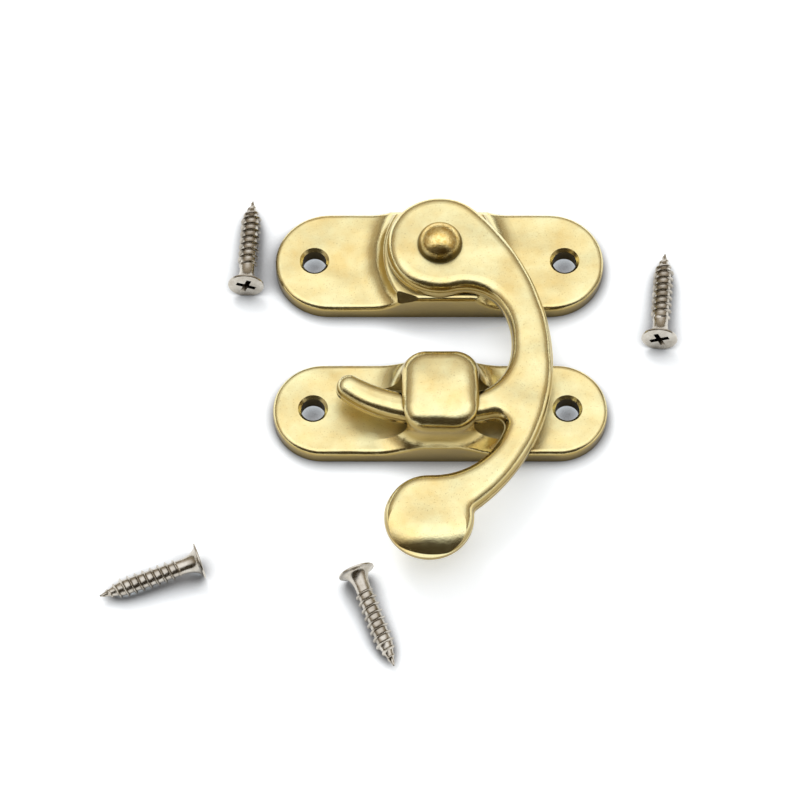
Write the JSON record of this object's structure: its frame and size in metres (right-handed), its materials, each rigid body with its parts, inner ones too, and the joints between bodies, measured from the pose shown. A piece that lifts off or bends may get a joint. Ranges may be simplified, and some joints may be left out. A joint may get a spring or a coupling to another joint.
{
  "type": "swing hook latch",
  "caption": "Box latch with a swing hook on a riveted pivot plate, a catch plate with an arched keeper for the hook's curved tongue, and loose countersunk wood screws.",
  "frame": {"origin": "centre of the pivot plate's two screw holes, at the plates' back faces; the hook's pivot axis stands 0.28 mm from it towards -Y", "axes": "+Z out of the box front along the pivot axis, +X along both plates towards the side the hook's arm bows to, +Y from the catch plate to the pivot plate"},
  "size_m": [0.0571, 0.0516, 0.008],
  "materials": {
    "plate_brass": "satin, pale brass plating over cast zinc, fine grain",
    "hook_brass": "satin, pale brass plating over cast zinc, fine grain",
    "rivet_brass": "satin, darker solid brass",
    "screw_steel": "nickel plated steel, slightly warm"
  },
  "bodies": {
    "plates": {"pivot_plate": "plate_brass", "catch_plate": "plate_brass", "pivot_rivet": "rivet_brass"},
    "hook": {"hook_arm": "hook_brass"},
    "screw_1": {"wood_screw_1": "screw_steel"},
    "screw_2": {"wood_screw_2": "screw_steel"},
    "screw_3": {"wood_screw_3": "screw_steel"},
    "screw_4": {"wood_screw_4": "screw_steel"}
  },
  "joints": [
    {"name": "hook_swing", "type": "hinge", "parent": "plates", "child": "hook", "pos_m": [0, -0.00028, 0], "axis": [0, 0, 1], "range_deg": [-6, 290]},
    {"name": "screw_1_lift", "type": "slide", "parent": "plates", "child": "screw_1", "axis": [0, 0, 1], "range_m": [0, 0.02]},
    {"name": "screw_2_lift", "type": "slide", "parent": "plates", "child": "screw_2", "axis": [0, 0, 1], "range_m": [0, 0.02]},
    {"name": "screw_3_lift", "type": "slide", "parent": "plates", "child": "screw_3", "axis": [0, 0, 1], "range_m": [0, 0.02]},
    {"name": "screw_4_lift", "type": "slide", "parent": "plates", "child": "screw_4", "axis": [0, 0, 1], "range_m": [0, 0.02]}
  ]
}
